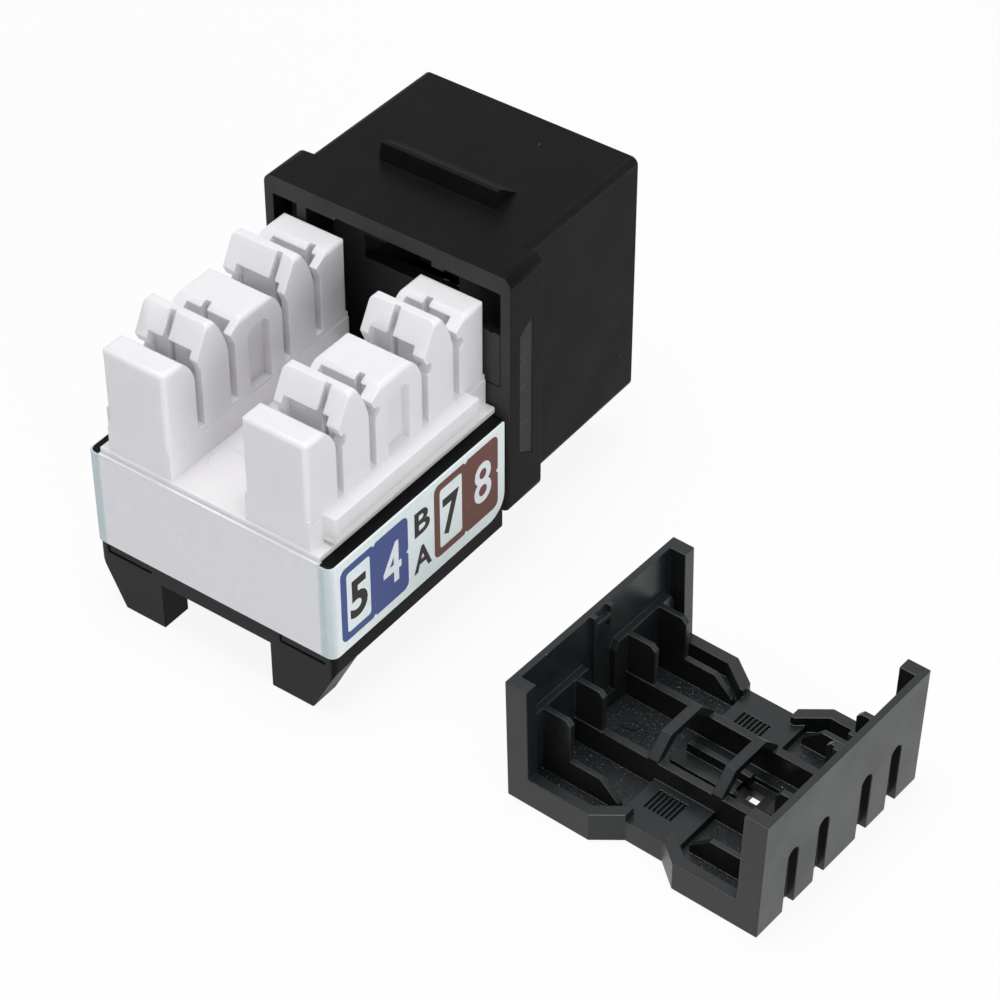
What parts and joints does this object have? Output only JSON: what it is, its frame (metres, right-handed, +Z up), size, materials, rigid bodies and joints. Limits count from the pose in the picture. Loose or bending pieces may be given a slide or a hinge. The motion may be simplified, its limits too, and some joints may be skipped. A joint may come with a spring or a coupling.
{
  "type": "keystone jack",
  "caption": "Keystone data jack with a plug port, a sprung panel latch, a punch-down wire block on a labelled tray, and its loose stuffer cap beside it.",
  "frame": {"origin": "middle of the nose, in the plane where the shoulders seat against a panel", "axes": "+Y leaves through the plug port, +Z is up through the wire towers, +X is the side with the brown and blue label tiles"},
  "size_m": [0.0429, 0.028, 0.0204],
  "materials": {
    "black_plastic": "satin black moulding with a very fine grain",
    "cap_plastic": "satin blue-black moulding",
    "white_plastic": "smooth white moulding with soft edges",
    "comb_plastic": "dull dark grey moulding",
    "label_film": "printed pale film",
    "board_laminate": "green solder mask",
    "tinned_blade": "tinned sheet",
    "gold_wire": "gold-plated spring wire"
  },
  "bodies": {
    "jack": {"front_housing": "black_plastic", "rear_tray": "black_plastic", "circuit_board": "board_laminate", "wire_block": "white_plastic", "contact_comb": "comb_plastic", "wiring_label": "label_film", "stuffer_cap": "cap_plastic", "idc_blade_1": "tinned_blade", "idc_blade_2": "tinned_blade", "idc_blade_3": "tinned_blade", "idc_blade_4": "tinned_blade", "idc_blade_5": "tinned_blade", "idc_blade_6": "tinned_blade", "idc_blade_7": "tinned_blade", "idc_blade_8": "tinned_blade"},
    "latch": {"latch_arm": "black_plastic"},
    "contacts": {"contact_wire_1": "gold_wire", "contact_wire_2": "gold_wire", "contact_wire_3": "gold_wire", "contact_wire_4": "gold_wire", "contact_wire_5": "gold_wire", "contact_wire_6": "gold_wire", "contact_wire_7": "gold_wire", "contact_wire_8": "gold_wire"}
  },
  "joints": [
    {"name": "latch_flex", "type": "hinge", "parent": "jack", "child": "latch", "pos_m": [0, 0.0083, -0.00855], "axis": [-1, 0, 0], "range_deg": [0, 6], "stiffness_Nm_per_rad": 1},
    {"name": "contact_flex", "type": "hinge", "parent": "jack", "child": "contacts", "pos_m": [0, 0.00705, -0.00346], "axis": [1, 0, 0], "range_deg": [0, 7], "stiffness_Nm_per_rad": 0.3}
  ]
}
